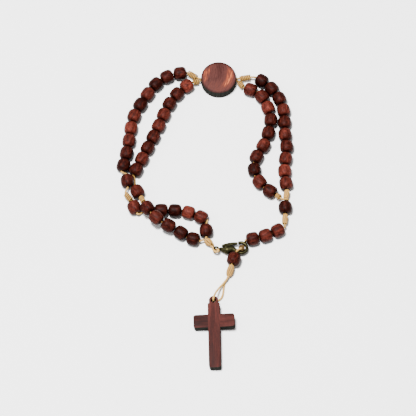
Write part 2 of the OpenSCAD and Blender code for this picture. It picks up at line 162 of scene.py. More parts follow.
def separate_solids(bm):
    """The faces of each separate solid, as a list of lists."""
    seen = set()
    solids = []
    for first in bm.faces:
        if first in seen:
            continue
        seen.add(first)
        faces, waiting = [], [first]
        while waiting:
            face = waiting.pop()
            faces.append(face)
            for other in (f for edge in face.edges for f in edge.link_faces):
                if other not in seen:
                    seen.add(other)
                    waiting.append(other)
        solids.append(faces)
    return solids


def bead_seats(node):
    """The middle of each bead in a CAD node and the way its hole runs, square to its flat ends."""
    beads = bmesh.new()
    beads.from_mesh(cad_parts[node].data)
    bmesh.ops.remove_doubles(beads, verts=beads.verts, dist=1e-7)
    one_side = Vector((0.9, 0.41, 0.1))
    directions_per_unit = 200
    seats = []
    for faces in separate_solids(beads):
        area = sum(f.calc_area() for f in faces)
        middle = sum((f.calc_center_median() * f.calc_area() for f in faces), Vector()) / area
        flats = {}
        for f in faces:
            normal = f.normal if f.normal.dot(one_side) > 0 else -f.normal
            same_way = tuple(round(c * directions_per_unit) for c in normal)
            total, mean = flats.get(same_way, (0, Vector()))
            flats[same_way] = (total + f.calc_area(), mean + normal * f.calc_area())
        largest = max(flats.values(), key=lambda flat: flat[0])
        seats.append((middle, largest[1].normalized()))
    beads.free()
    return seats


def along_string(seats, start):
    """The seats in order, from the one nearest to start, with their holes pointing onwards."""
    here = Vector(start) * mm
    ordered = []
    while seats:
        nearest = min(seats, key=lambda seat: (seat[0] - here).length)
        seats.remove(nearest)
        ordered.append(nearest)
        here = nearest[0]
    middles = [middle for middle, way in ordered]
    before = middles[:1] + middles[:-1]
    after = middles[1:] + middles[-1:]
    if len(ordered) == 1:
        before = [Vector(start) * mm]
    return [(middle, -way if way.dot(onwards - back) < 0 else way)
            for (middle, way), back, onwards in zip(ordered, before, after)]


class Finish:
    """A new material, with short ways to add nodes in front of its shader."""

    def __init__(self, name):
        self.material = bpy.data.materials.new(name)
        self.material.use_nodes = True
        self.tree = self.material.node_tree
        self.shader = self.tree.nodes["Principled BSDF"]

    def feed(self, socket, value):
        """Link a socket to another node's output, or set it to a plain value."""
        if isinstance(value, bpy.types.NodeSocket):
            self.tree.links.new(value, socket)
        else:
            socket.default_value = value

    def look(self, **settings):
        """Feed the shader's own sockets, with _ for each space in a name."""
        for name, value in settings.items():
            self.feed(self.shader.inputs[name.replace("_", " ")], value)

    def add(self, kind, **settings):
        """A node: names in lower case are its properties, and the others its sockets."""
        node = self.tree.nodes.new(kind)
        for name, value in settings.items():
            if name[0].islower():
                setattr(node, name, value)
            else:
                self.feed(node.inputs[name], value)
        return node

    def maths(self, operation, *values, clamp=False):
        node = self.add("ShaderNodeMath", operation=operation, use_clamp=clamp)
        for socket, value in zip(node.inputs, values):
            self.feed(socket, value)
        return node.outputs[0]

    def plus(self, a, b):
        return self.maths("ADD", a, b)

    def minus(self, a, b):
        return self.maths("SUBTRACT", a, b)

    def times(self, a, b, clamp=False):
        return self.maths("MULTIPLY", a, b, clamp=clamp)

    def swing(self, pattern, strength):
        """A pattern about its middle, so that it darkens as much as it lightens."""
        return self.times(self.minus(pattern, 0.5), strength)

    def attribute(self, name):
        return self.add("ShaderNodeAttribute", attribute_name=name)

    def noise(self, place, scale, detail, roughness, distortion=0.0):
        return self.add("ShaderNodeTexNoise", Vector=place, Scale=scale, Detail=detail,
                        Roughness=roughness, Distortion=distortion).outputs[0]

    def stretched(self, place, scale):
        return self.add("ShaderNodeMapping", Vector=place, Scale=scale).outputs[0]

    def split(self, vector):
        return self.add("ShaderNodeSeparateXYZ", Vector=vector).outputs

    def joined(self, x, y, z=0.0):
        return self.add("ShaderNodeCombineXYZ", X=x, Y=y, Z=z).outputs[0]

    def spread(self, value, low=0.0, high=1.0, to_low=0.0, to_high=1.0):
        """The range from low to high, made to run from to_low to to_high."""
        node = self.add("ShaderNodeMapRange")
        for socket, given in zip(node.inputs, (value, low, high, to_low, to_high)):
            self.feed(socket, given)
        return node.outputs[0]

    def tints(self, value, stops):
        node = self.add("ShaderNodeValToRGB")
        bar = node.color_ramp
        while len(bar.elements) < len(stops):
            bar.elements.new(0.5)
        for element, (at, colour) in zip(bar.elements, stops):
            element.position = at
            element.color = (*colour, 1)
        self.feed(node.inputs[0], value)
        return node.outputs[0]

    def mixed(self, under, over, share, blend="MIX"):
        node = self.add("ShaderNodeMix", data_type="RGBA", blend_type=blend)
        for socket, value in zip((node.inputs[0], node.inputs[6], node.inputs[7]), (share, under, over)):
            self.feed(socket, value)
        return node.outputs[2]

    def open_air(self, reach, samples=6):
        """How much of the sky a point sees, past whatever stands within reach of it."""
        return self.add("ShaderNodeAmbientOcclusion", samples=samples, Distance=reach).outputs["AO"]

    def relief(self, height, strength, depth):
        bump = self.add("ShaderNodeBump", Height=height, Strength=strength, Distance=depth)
        self.look(Normal=bump.outputs[0])


def red_wood():
    wood = Finish("dark_red_bead_wood")
    place = wood.attribute("bead_place").outputs["Vector"]
    tone = wood.attribute("tone").outputs["Fac"]
    grain = wood.stretched(place, (1, 1, 0.5))
    bands = wood.noise(grain, scale=1.1, detail=3.0, roughness=0.65, distortion=0.5)
    fine = wood.noise(grain, scale=4.5, detail=6.0, roughness=0.7, distortion=0.3)
    flecks = wood.noise(wood.stretched(place, (1, 1, 0.3)), scale=9.0, detail=3.0, roughness=0.6)
    shade = wood.plus(wood.plus(tone, wood.swing(bands, 1.7)), wood.swing(fine, 0.9))
    colour = wood.tints(shade, [(0.0, (0.008, 0.0012, 0.0007)), (0.25, (0.022, 0.0037, 0.0023)),
                                (0.5, (0.044, 0.0082, 0.0054)), (0.75, (0.08, 0.0148, 0.0098)),
                                (1.0, (0.14, 0.027, 0.0165))])
    dark_flecks = wood.tints(flecks, [(0.36, (0.45, 0.4, 0.38)), (0.47, (1, 1, 1))])
    flecked = wood.mixed(colour, dark_flecks, 0.75, "MULTIPLY")
    # Painted shade: the wood is darkened low on the sides and where the beads press together, where
    # little light reaches
    painted_shade = wood.tints(wood.open_air(0.004), [(0.3, (0.22, 0.15, 0.13)), (0.65, (0.66, 0.56, 0.53)),
                                              (0.95, (1, 1, 1))])
    wood.look(Base_Color=wood.mixed(flecked, painted_shade, 1.0, "MULTIPLY"),
              Roughness=wood.spread(fine, to_low=0.4, to_high=0.55), Specular_IOR_Level=0.03)
    wood.relief(fine, strength=0.5, depth=0.0001)
    return wood.material


bead_wood = red_wood()
bead = bead_shape()


def room_between(seat, after):
    """Half the space that two neighbours leave each other, where their rims come closest."""
    (middle, way), (next_middle, next_way) = seat, after
    gap = (next_middle - next_way * bead_half) - (middle + way * bead_half)
    lean = math.sin(way.angle(next_way) / 2)
    closest = min(2 * (bead_half - z) - 2 * r * lean for r, z in bead_profile() if z > 0)
    return (gap.dot((way + next_way).normalized()) + closest) / 2


def string_of_beads(node, start, tones):
    """Beads on the seats of a CAD node, in order from start; each tone runs from dark to light."""
    seats = along_string(bead_seats(node), start)
    string = bmesh.new()
    local = string.verts.layers.float_vector.new("bead_place")
    shade = string.verts.layers.float.new("tone")
    rooms = [room_between(a, b) for a, b in zip(seats, seats[1:])]
    rooms = [end_room] + rooms + [end_room]
    for i, ((middle, way), tone) in enumerate(zip(seats, tones)):
        below, above = [1 + min(max(room - bead_gap, -most_cut), most_grown) / bead_half
                        for room in rooms[i:i + 2]]
        before = len(string.verts)
        mesh = bpy.data.meshes.new("one_bead")
        bead.to_mesh(mesh)
        string.from_mesh(mesh)
        bpy.data.meshes.remove(mesh)
        string.verts.ensure_lookup_table()
        added = string.verts[before:]
        # Each bead has its own stretch of grain, turned its own way round the cord
        own_turn = (i * 137.5 + len(node) * 31) % 360
        spun = Matrix.Rotation(math.radians(own_turn), 4, "Z")
        own_stretch = Vector((i * 7.3, len(node) * 3.1, i * 11.9))
        for vert in added:
            vert[local] = spun @ (vert.co / mm) + own_stretch
            vert[shade] = tone
            vert.co.z *= above if vert.co.z > 0 else below
        turn = way.to_track_quat("Z", "Y").to_matrix().to_4x4()
        bmesh.ops.transform(string, matrix=Matrix.Translation(middle) @ turn, verts=added)
    piece = from_bmesh("turned_" + node, string, bead_wood)
    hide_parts(node)
    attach(piece, "bracelet")
    return seats


# Four shades of the same wood, given to each bead one by one from the photo
black, dark, red, bright = 0.08, 0.25, 0.45, 0.65

left_outer = string_of_beads("left_outer_beads", (-5, 57, 2),
                             [dark, dark, black, red, black, red, bright, red, dark, black])
left_inner = string_of_beads("left_inner_beads", (-3, 53, 2),
                             [bright, dark, dark, red, red, dark, dark, red, dark])
left_spacers = string_of_beads("left_spacer_beads", (-28, 16, 2), [dark, red])
lower_upper = string_of_beads("lower_upper_beads", (-27, 5, 2),
                              [red, dark, black, bright, red, dark])
lower_lower = string_of_beads("lower_lower_beads", (-22, 4, 4), [dark, red, dark, black, black])
right_outer = string_of_beads("right_outer_beads", (18, 55, 2),
                              [black, dark, dark, red, dark, red, dark, red, bright, red])
right_inner = string_of_beads("right_inner_beads", (14, 51, 2),
                              [red, red, bright, dark, dark, red, dark, black, red, dark])
right_spacer = string_of_beads("right_spacer_bead", (29, 5, 2), [black])
right_end = string_of_beads("right_end_beads", (28, -6, 2), [red, red, dark])
pendant_seat = string_of_beads("pendant_bead", (12, -15, 2), [dark])


# Wooden disc

# A slice of streaked red wood, sanded flat on its faces and scorched dark round its wall.
# Both cords of the bracelet pass through one hole drilled straight across it.

disc_bore_r = 0.93 * mm
disc_edge = 0.25 * mm


def with_modifiers(piece, name, material):
    """The mesh that a piece's modifiers make, in place of the piece and its cutting tools."""
    mesh = bpy.data.meshes.new_from_object(piece.evaluated_get(bpy.context.evaluated_depsgraph_get()))
    mesh.name = name
    mesh.materials.clear()
    for old in [piece] + [m.object for m in piece.modifiers if m.type == "BOOLEAN"]:
        bpy.data.objects.remove(old)
    mesh.polygons.foreach_set("use_smooth", [True] * len(mesh.polygons))
    return new_object(name, mesh, material)


def cut_from(piece, tool, operation="DIFFERENCE"):
    cut = piece.modifiers.new("cut", "BOOLEAN")
    cut.object = tool
    cut.operation = operation
    cut.solver = "EXACT"


def round_bar(name, radius, height, segments, place, edge=0, material=None):
    """A round bar along Z, with its rims rounded over where edge is given."""
    bar = bmesh.new()
    bmesh.ops.create_cone(bar, cap_ends=True, segments=segments, radius1=radius, radius2=radius,
                          depth=height, matrix=place)
    if edge:
        rims = [e for e in bar.edges if abs(e.verts[0].co.z - e.verts[1].co.z) < 1e-9]
        bmesh.ops.bevel(bar, geom=rims, offset=edge, offset_type="OFFSET", segments=4,
                        profile=0.5, affect="EDGES", material=-1)
    return from_bmesh(name, bar, material)


def keep_grain(piece, back):
    """Store where the grain runs, in mm, so that it stays with the wood."""
    mesh = piece.data
    layer = mesh.attributes.new("grain_place", "FLOAT_VECTOR", "POINT")
    for vert, out in zip(mesh.vertices, layer.data):
        out.vector = back @ vert.co / mm


class SandedWood(Finish):
    """Flat-sanded wood with its grain along Y, scorched on the walls that face sideways."""

    def __init__(self, name):
        super().__init__(name)
        self.place = self.attribute("grain_place").outputs["Vector"]
        self.x, self.y, self.z = self.split(self.place)

    def grow(self, place, grain_scale):
        grain = self.stretched(place, grain_scale)
        self.broad = self.noise(grain, scale=1.0, detail=2.0, roughness=0.5, distortion=0.6)
        self.lines = self.noise(grain, scale=5.0, detail=5.0, roughness=0.65, distortion=0.4)
        self.pores = self.noise(self.stretched(place, (9, 1.3, 9)), scale=1.0, detail=2.0, roughness=0.5)

    def sand_and_scorch(self, shade, stops):
        normal = self.add("ShaderNodeNewGeometry").outputs["Normal"]
        upright = self.maths("ABSOLUTE", self.split(normal)[2])
        scorched = self.spread(upright, low=0.85, high=0.35)
        pore_dark = self.tints(self.pores, [(0.33, (0.5, 0.46, 0.44)), (0.45, (1, 1, 1))])
        pored = self.mixed(self.tints(shade, stops), pore_dark, 0.7, "MULTIPLY")
        char = self.tints(self.lines, [(0.35, (0.009, 0.0092, 0.008)), (0.6, (0.022, 0.0225, 0.02))])
        self.look(Base_Color=self.mixed(pored, char, scorched),
                  Roughness=self.spread(self.lines, to_low=0.42, to_high=0.62),
                  Specular_IOR_Level=self.spread(scorched, to_low=0.03, to_high=0.0))
        self.relief(self.lines, strength=0.3, depth=0.00005)


def disc_wood():
    """A brown-grey heart in the upper half, with copper streaks from the right edge to the
    foot and down the left edge."""
    wood = SandedWood("streaked_disc_wood")

    def bowed(top, bend):
        """How far across the grain each point lies, once the grain bows about y = top."""
        up = wood.minus(wood.y, top)
        return wood.plus(wood.x, wood.times(wood.times(up, up), bend))

    def streak(across, centre, half, low, high):
        """A soft line down the face between the heights low and high."""
        crest, fade = 1.3, 0.5
        off = wood.maths("ABSOLUTE", wood.minus(across, centre))
        near = wood.maths("SUBTRACT", crest, wood.times(off, crest / half), clamp=True)
        foot = wood.times(wood.minus(wood.y, low), fade, clamp=True)
        crown = wood.times(wood.minus(high, wood.y), fade, clamp=True)
        return wood.times(near, wood.times(foot, crown))

    wood.grow(wood.joined(bowed(2.5, 0.035), wood.y), (0.5, 0.07, 0.3))
    copper = streak(bowed(2.5, 0.06), centre=4.5, half=1.5, low=-4.4, high=4.2)
    left_edge = streak(wood.x, centre=-4.8, half=0.9, low=-2.0, high=4.4)
    beside_it = streak(wood.x, centre=-3.5, half=0.4, low=0.5, high=4.8)
    for more in (left_edge, beside_it):
        copper = wood.plus(copper, wood.times(more, 0.75))
    threads = wood.spread(wood.lines, low=0.36, high=0.62, to_low=0.12, to_high=0.75)
    heart = streak(bowed(-9.0, -0.008), centre=-1.7, half=3.7, low=-2.4, high=9.5)
    shade = wood.plus(wood.plus(0.3, wood.swing(wood.broad, 0.4)), wood.times(copper, threads))
    shade = wood.plus(wood.minus(shade, wood.times(heart, 0.12)), wood.swing(wood.lines, 0.8))
    flat = wood.add("ShaderNodeVectorMath", operation="MULTIPLY")
    wood.feed(flat.inputs[0], wood.place)
    wood.feed(flat.inputs[1], (1, 1, 0))
    from_middle = wood.add("ShaderNodeVectorMath", operation="LENGTH")
    wood.feed(from_middle.inputs[0], flat.outputs[0])
    # Painted shade: the face darkens towards its rounded rim, where the edge falls away from the light
    rim = wood.spread(from_middle.outputs["Value"], low=5.5, high=6.4, to_high=0.35)
    wood.sand_and_scorch(wood.minus(shade, rim), [
        (0.0, (0.022, 0.006, 0.005)), (0.25, (0.052, 0.018, 0.0155)), (0.5, (0.092, 0.0245, 0.0165)),
        (0.8, (0.225, 0.05, 0.021)), (1.0, (0.38, 0.1, 0.038))])
    return wood.material


lo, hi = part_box("centre_disc")
disc_centre = (Vector(lo) + Vector(hi)) / 2
disc_r = (hi[0] - lo[0]) / 2
blank = round_bar("disc_blank", disc_r, hi[2] - lo[2], 128, Matrix.Translation(disc_centre), disc_edge)
drill = round_bar("disc_drill", disc_bore_r, 3 * disc_r, 48,
                  Matrix.Translation(disc_centre) @ Matrix.Rotation(math.pi / 2, 4, "Y"))
cut_from(blank, drill)
disc = with_modifiers(blank, "sanded_disc", disc_wood())
keep_grain(disc, Matrix.Translation(-disc_centre))
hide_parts("centre_disc")
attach(disc, "bracelet")


# Twisted cords

# Cream cord of about 0.8 mm, laid up from three plies. Two cords run through the beads
# and the disc, and a third holds the pendant bead and the cross. They bend where they
# leave a bead's hole, go round the clasp's eye and are tied in its hook.

# All the sizes and routes of cord and thread are in mm
cord_r, ply_r, cord_plies = 0.4, 0.2, 3
cord_lay = 2.1
line_step = 0.16
# Along a bead's hole, a cord is straight this far from its middle and leaves it here, or
# here at either end of a string
bore_straight, mouth, end_mouth = 1.75, 2.35, 2.5
# Two cords side by side each lie this far from their middle line
pair = 0.43
# They leave the disc's hole this far from its middle
disc_out = 6.75
disc_mid = disc_centre / mm


def strung(seats):
    """The route through a string of beads."""
    line = []
    for i, (middle, way) in enumerate(seats):
        middle = middle / mm
        first = end_mouth if i == 0 else mouth
        last = end_mouth if i == len(seats) - 1 else mouth
        line += [middle - way * first, middle - way * bore_straight,
                 middle + way * bore_straight, middle + way * last]
    return line


def placed(rows, origin=(0, 0)):
    return [Vector((x + origin[0], y + origin[1], z)) for x, y, z in rows]


def even(line, step):
    """The same line with its points one step apart."""
    lengths = [0.0]
    for p, q in zip(line, line[1:]):
        lengths.append(lengths[-1] + (q - p).length)
    count = max(2, round(lengths[-1] / step))
    out, k = [], 0
    for i in range(count + 1):
        run = lengths[-1] * i / count
        while k < len(line) - 2 and lengths[k + 1] < run:
            k += 1
        share = (run - lengths[k]) / max(lengths[k + 1] - lengths[k], 1e-9)
        out.append(line[k].lerp(line[k + 1], share))
    return out


def smooth_line(points, step):
    """An even curve through the points, which bends most softly where they lie far apart."""
    points = [p for i, p in enumerate(points) if i == 0 or (p - points[i - 1]).length > 1e-4]
    points = [points[0] * 2 - points[1]] + points + [points[-1] * 2 - points[-2]]
    knots = [0.0]
    for p, q in zip(points, points[1:]):
        knots.append(knots[-1] + (q - p).length ** 0.5)

    def between(p, q, low, high, t):
        return p * ((high - t) / (high - low)) + q * ((t - low) / (high - low))

    curve = []
    for i in range(len(points) - 3):
        a, b, c, d = points[i:i + 4]
        ta, tb, tc, td = knots[i:i + 4]
        count = max(2, int((c - b).length / (step / 3)))
        for k in range(count):
            t = tb + (tc - tb) * k / count
            bc = between(b, c, tb, tc, t)
            abc = between(between(a, b, ta, tb, t), bc, ta, tc, t)
            bcd = between(bc, between(c, d, tc, td, t), tb, td, t)
            curve.append(between(abc, bcd, tb, tc, t))
    curve.append(points[-2])
    return even(curve, step)


def frames_along(line):
    """Two directions square to the line at each of its points, which don't twist about it."""
    ways = [(line[min(i + 1, len(line) - 1)] - line[max(i - 1, 0)]).normalized()
            for i in range(len(line))]
    side = ways[0].orthogonal().normalized()
    out = []
    for i, way in enumerate(ways):
        if i:
            side = ways[i - 1].rotation_difference(way) @ side
            side = (side - way * side.dot(way)).normalized()
        out.append((side, way.cross(side)))
    return out


def plies_of(line, count, out_r, lay):
    """Lines of the plies twisted round a line; lay is the length of one full turn."""
    rows = [[] for _ in range(count)]
    run = 0.0
    for i, (p, (u, v)) in enumerate(zip(line, frames_along(line))):
        if i:
            run += (p - line[i - 1]).length
        for k, row in enumerate(rows):
            a = 2 * math.pi * (run / lay + k / count)
            row.append(p + (u * math.cos(a) + v * math.sin(a)) * out_r)
    return rows


def tubes(name, lines, radius, material, roundness):
    """Round tubes along lines, as one closed mesh."""
    curve = bpy.data.curves.new(name, "CURVE")
    curve.dimensions = "3D"
    curve.bevel_depth = radius * mm
    curve.bevel_resolution = roundness
    curve.use_fill_caps = True
    curve.resolution_u = 1
    for line in lines:
        spline = curve.splines.new("POLY")
        spline.points.add(len(line) - 1)
        for point, place in zip(spline.points, line):
            point.co = (*(place * mm), 1)
    holder = bpy.data.objects.new(name + "_line", curve)
    bpy.context.scene.collection.objects.link(holder)
    piece = with_modifiers(holder, name, material)
    bpy.data.curves.remove(curve)
    bm = bmesh.new()
    bm.from_mesh(piece.data)
    bmesh.ops.remove_doubles(bm, verts=bm.verts, dist=1e-7)
    bmesh.ops.recalc_face_normals(bm, faces=bm.faces)
    bm.to_mesh(piece.data)
    bm.free()
    return piece


def laid_cord(name, line, material):
    return tubes(name, plies_of(line, cord_plies, ply_r, cord_lay), ply_r, material, 1)


def cotton(name, light, dark, fibre_scale, reach):
    """Cotton, paler on its rounds, with painted shade that makes it brown deep between its plies and
    near other parts, as far as reach.
    """
    thread = Finish(name)
    place = thread.add("ShaderNodeTexCoord").outputs["Object"]
    patches = thread.noise(place, scale=350.0, detail=3.0, roughness=0.6)
    fibres = thread.noise(place, scale=fibre_scale, detail=4.0, roughness=0.7, distortion=1.0)
    tone = thread.plus(thread.times(patches, 0.6), thread.times(fibres, 0.4))
    colour = thread.tints(tone, [(0.32, dark), (0.62, light)])
    # Painted shade: darker where little open sky lies within reach
    painted_ply_shade = thread.tints(thread.open_air(reach), [(0.38, (0.05, 0.03, 0.02)), (0.86, (1, 1, 1))])
    thread.look(Base_Color=thread.mixed(colour, painted_ply_shade, 1.0, "MULTIPLY"),
                Roughness=0.8, Specular_IOR_Level=0.1)
    thread.relief(fibres, strength=0.5, depth=0.00004)
    return thread.material


# The cord's painted shade reaches 1.4 mm, so it darkens in its plies and between close beads
cord_look = cotton("cream_cord", (0.6, 0.36, 0.1), (0.34, 0.18, 0.045), 2600.0, 0.0014)

# Where a cord leaves the beads, its route is given point by point
under_spacer = placed([[-25.8, 14.6, 1.7], [-25.6, 14, 1.05], [-25.55, 13.2, 0.65],
                       [-25.5, 12.4, 0.65], [-25.55, 11.7, 1.05]])
bend_left = placed([[-28.85, 7.9, 2.35]])
under_crossing = placed([[-24.1, -0.2, 1.7], [-23.1, 0.5, 0.95], [-22.1, 1.3, 0.6],
                         [-20.4, 1.7, 0.6], [-19, 1.2, 1.3]])
bend_right_top = placed([[17, 55.2, 2.35]])
bend_right_end = placed([[28.7, -4.6, 2.35], [28.8, -5.5, 2.35]])
# Measured across the table from the middle of the clasp's eye, then of its hook
eye = (4.024, -14.426)
hook = (13.045, -13.7)
eye_loop = placed([[-1.25, 0.6, 2.75], [-1.15, -0.2, 2.8], [-0.7, -0.85, 2.8],
                   [-0.05, -1.15, 2.8], [0.55, -1.05, 2.85], [0.85, -0.7, 2.85],
                   [0.7, -0.35, 2.85], [0.3, -0.15, 2.55], [0.1, -0.05, 2.1],
                   [0, 0.05, 1.75], [-0.3, 0.4, 1.2], [-0.75, 1.1, 1.15], [-1.05, 1.7, 1.45]], eye)
under_hook = placed([[1.5, 2.75, 1.6], [1.4, 2.3, 1], [1.15, 1.6, 0.95]], hook)
over_hook = placed([[-1.15, -1.45, 3.55], [-1.75, -2.15, 3.4]], hook)
pendant_front = placed([[7.85, -25.8, 1.55], [7.1, -26.85, 1.4], [6.1, -28.1, 1.4],
                        [4.9, -30, 2.4], [4, -32, 4.1], [3.3, -33.9, 5.1],
                        [3, -34.7, 5], [3, -35.1, 4.2]])
pendant_back = placed([[3, -35.1, 1.3], [3.2, -34.8, 0.55], [4.4, -34, 0.45], [5.7, -33, 0.45],
                       [6.3, -31.8, 0.45], [6.55, -30.4, 0.45], [6.75, -28.6, 0.45],
                       [7.1, -26.9, 0.45], [7.8, -25.6, 0.65]])
clasp_line = placed([[-0.05, -10.3, 2.1]]) + placed([[-1.5, 1.9, 2.1]], eye)
knot_line = placed([[0.2, 0.35, 1.2], [-0.05, -0.75, 3.2]], hook)
pendant_line = [strung(pendant_seat)[-1], Vector((8.35, -24.85, 1.9))]


def disc_mouth(side, row):
    return disc_mid + Vector((side * disc_out, row * pair, 0))


def part_way(a, b, length):
    return a + (b - a).normalized() * length


clasp_way = clasp_line[1] - clasp_line[0]
clasp_side = Vector((clasp_way.y, -clasp_way.x, 0)).normalized() * pair
knot_mid = (knot_line[0] + knot_line[1]) / 2
outer_left = [disc_mouth(-1, 1)] + strung(left_outer) + strung(left_spacers[:1]) + bend_left \
    + strung(lower_upper[:1]) + under_crossing + strung(lower_upper[1:5]) \
    + strung(lower_upper[5:]) + [clasp_line[0] - clasp_side, clasp_line[1] - clasp_side] \
    + eye_loop[::-1] + [clasp_line[1] + clasp_side, (clasp_line[0] + clasp_line[1]) / 2 + clasp_side]
outer_right = [disc_mouth(1, 1)] + bend_right_top + strung(right_outer) + strung(right_spacer) \
    + bend_right_end + strung(right_end) + under_hook + [knot_line[0], knot_mid]
# The inner cord ends in a hitch round the outer one, just above the right spacer bead
hitch_r, hitch_above = 0.95, 0.45
hitch_mid = strung(right_spacer)[0] + Vector((0, hitch_above, 0))
hitch = [hitch_mid + Vector((math.cos(math.radians(a)), 0, math.sin(math.radians(a)))) * hitch_r
         for a in range(130, -111, -40)]
inner_left = [disc_mouth(-1, -1)] + strung(left_inner) + under_spacer + strung(left_spacers[1:]) \
    + strung(lower_lower) \
    + [clasp_line[0] + clasp_side, (clasp_line[0] * 3 + clasp_line[1]) / 4 + clasp_side]
inner_right = [disc_mouth(1, -1)] + strung(right_inner) + hitch
pendant_under = Vector((0, 0, -2 * pair))
pendant_tuck = 1.2
pendant = [part_way(knot_mid, knot_line[1], 0.05), knot_line[1]] + over_hook \
    + strung(pendant_seat) + [pendant_line[1]] + pendant_front + pendant_back \
    + [pendant_line[1] + pendant_under,
       part_way(pendant_line[1], pendant_line[0], pendant_tuck) + pendant_under]
cord_lines = []


def twisted_cord(node, points):
    line = smooth_line(points, line_step)
    cord_lines.append(line)
    piece = laid_cord("twisted_" + node, line, cord_look)
    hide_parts(node)
    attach(piece, "bracelet")


twisted_cord("outer_cord", outer_left[::-1] + outer_right)
twisted_cord("inner_cord", inner_left[::-1] + inner_right)
twisted_cord("pendant_cord", pendant)


# Whippings

# Short lengths of the same thread wound tight round the cord to lock it: close turns on
# most, and strands laid lengthwise and drawn in at both ends on the wide ones. The knot
# in the clasp's hook is the cord itself, turned about its own ends.

thread_r = 0.3
thread_lay = 1.1
steps_per_turn, steps_per_strand = 32, 24
# The first and last turns are this much of the radius tighter
end_pinch = 0.12
# A strand leans by this much of a turn on its way, and its belly starts this far into a
# half wave
strand_lean, belly_start = 0.08, 0.04
# Wound and bundled thread stands this far proud of the plain barrels of the solids
fuller = 0.1
thread_look = cotton("whipping_thread", (0.38, 0.21, 0.055), (0.2, 0.1, 0.023), 2200.0, 0.0005)


def ends_of(node):
    """Both ends and the radius of a whipping, which lies along the nearest cord."""
    verts = [v.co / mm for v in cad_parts[node].data.vertices]
    middle = sum(verts, Vector()) / len(verts)
    line, i = min(((l, i) for l in cord_lines for i in range(2, len(l) - 2)),
                  key=lambda at: (at[0][at[1]] - middle).length)
    way = (line[i + 2] - line[i - 2]).normalized()
    heights = [(v - middle).dot(way) for v in verts]
    reach = max(((v - middle) - way * h).length for v, h in zip(verts, heights))
    return middle + way * min(heights), middle + way * max(heights), reach


def about(way):
    """A function that gives the direction at an angle round a line."""
    u = way.orthogonal().normalized()
    v = way.cross(u)
    return lambda angle: u * math.cos(angle) + v * math.sin(angle)


def wound(node):
    """Close turns of thread, the first and the last a little tighter."""
    a, b, reach = ends_of(node)
    way = (b - a).normalized()
    outward = about(way)
    run = (b - a).length - 2 * thread_r
    turns = max(2, round(run / (2 * thread_r)))
    count = turns * steps_per_turn
    line = []
    for i in range(count + 1):
        share = i / count
        ease = min(1.0, 6 * min(share, 1 - share) * turns / 4)
        r = (reach + fuller - thread_r) * (1 - end_pinch * (1 - ease))
        line.append(a + way * (thread_r + run * share) + outward(2 * math.pi * turns * share) * r)
    piece = tubes("wound_" + node, plies_of(line, 2, thread_r * 0.2, thread_lay), thread_r * 0.8,
                  thread_look, 1)
    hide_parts(node)
    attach(piece, "bracelet")


def bundled(node, strands, strand_r, taper=0.42, early=0.0):
    """Strands laid along the cord; taper says how far their ends are drawn in, and early
    how much sooner they start."""
    a, b, reach = ends_of(node)
    way = (b - a).normalized()
    outward = about(way)
    a -= way * early
    run = (b - a).length - strand_r
    lines = []
    for k in range(strands):
        line = []
        for share in (i / steps_per_strand for i in range(steps_per_strand + 1)):
            belly = math.sin(math.pi * (belly_start + (1 - 2 * belly_start) * share)) ** taper
            angle = 2 * math.pi * (k / strands + strand_lean * share)
            line.append(a + way * (strand_r * 0.5 + run * share)
                        + outward(angle) * (reach + fuller - strand_r) * belly)
        lines.append(line)
    piece = tubes("bundled_" + node, lines, strand_r, thread_look, 2)
    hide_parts(node)
    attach(piece, "bracelet")


for node in ("wrap_disc_left_outer", "wrap_disc_left_inner", "wrap_disc_right_outer",
             "wrap_disc_right_inner", "wrap_left_outer", "wrap_left_inner", "wrap_right_inner"):
    wound(node)
for node in ("wrap_right_outer", "wrap_right_end"):
    bundled(node, 8, 0.36, 0.2)
bundled("wrap_clasp", 6, 0.44)
bundled("wrap_pendant", 9, 0.35, 0.35, 0.5)

# The knot is the same cotton as the cord, painted much darker as shade for where it sits deep in the
# clasp's hook
shaded_knot_look = cotton("shaded_knotted_thread", (0.1, 0.056, 0.018), (0.045, 0.024, 0.008), 2200.0, 0.0005)
knot_turns, knot_steps = 3.2, 120
knot_long = 1.95
# The ball would close this far from its middle, and it stands this far proud of the solid
knot_pole, knot_proud = 1.06, 0.12
knot_shift = Vector((0.05, -0.15, 0))
knot_axis = Vector((0.8, 0.5, 0.2)).normalized()


def knot_route():
    """Turns of cord that follow a ball."""
    a, b, reach = ends_of("knot_in_clasp")
    heart = (a + b) / 2 + knot_shift
    outward = about(knot_axis)
    line = []
    for share in (i / knot_steps for i in range(knot_steps + 1)):
        along = (share - 0.5) * knot_long
        r = (reach + knot_proud - cord_r) * (1 - (along / knot_pole) ** 2) ** 0.5
        line.append(heart + knot_axis * along + outward(2 * math.pi * knot_turns * share) * r)
    return line


knot = laid_cord("cord_knot", knot_route(), shaded_knot_look)
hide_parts("knot_in_clasp")
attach(knot, "bracelet")


# Lobster clasp

# Cast brass with an antique finish: olive brown, nearly black in the hollows and paler on the high
# spots; the dark hollows are partly the finish's patina and partly painted shade. The cast body holds a
# lever that turns on a riveted pin.

rivet_edge = 0.14 * mm


def antique_brass():
    metal = Finish("antique_brass")
    place = metal.add("ShaderNodeTexCoord").outputs["Object"]
    patches = metal.noise(place, scale=450.0, detail=4.0, roughness=0.6)
    grit = metal.noise(place, scale=2500.0, detail=3.0, roughness=0.6)
    # The hollows are darkened both as the finish's real patina and as painted shade, such as under the
    # lever
    rubbed_and_unshaded = metal.spread(metal.open_air(0.0007, samples=8), low=0.35, high=0.95)
    tone = metal.plus(metal.times(rubbed_and_unshaded, 0.6), metal.times(patches, 0.45))
    colour = metal.tints(tone, [(0.3, (0.0006, 0.0005, 0.0003)), (0.7, (0.003, 0.0026, 0.0011)),
                                (0.99, (0.045, 0.041, 0.018))])
    metal.look(Base_Color=colour, Metallic=0.8, Specular_IOR_Level=0.15,
               Specular_Tint=(0.3, 0.27, 0.16, 1),
               Roughness=metal.spread(grit, to_low=0.28, to_high=0.5))
    metal.relief(grit, strength=0.25, depth=0.00005)
    return metal.material


brass = antique_brass()


